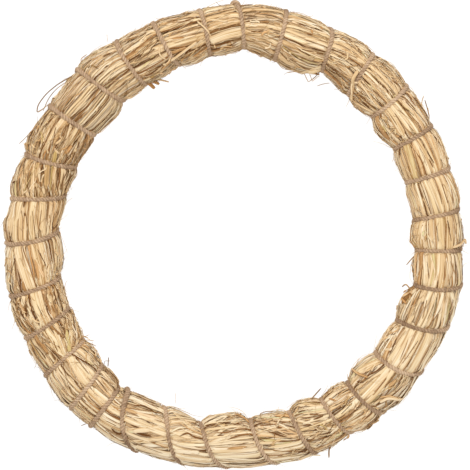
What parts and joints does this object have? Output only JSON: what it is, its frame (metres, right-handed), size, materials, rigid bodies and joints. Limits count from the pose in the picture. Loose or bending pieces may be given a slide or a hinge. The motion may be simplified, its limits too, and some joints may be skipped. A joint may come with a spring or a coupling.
{
  "type": "straw wreath",
  "caption": "Round wreath of bound straw that lies flat, bulging between the spiral turns of the jute twine that holds it.",
  "frame": {"origin": "under the middle of the wreath's bounding box, on the surface that the wreath lies on", "axes": "+Z out of the wreath's front, up from the surface it lies on; +Y from the middle towards the knot in the twine"},
  "size_m": [0.298, 0.303, 0.0332],
  "materials": {
    "dry_straw": "dry matt straw blades, pale gold with darker gaps",
    "jute": "matt twisted plant fibre, greyish brown, slightly hairy"
  },
  "bodies": {
    "root": {"straw_ring": "dry_straw", "jute_twine": "jute"}
  },
  "joints": []
}
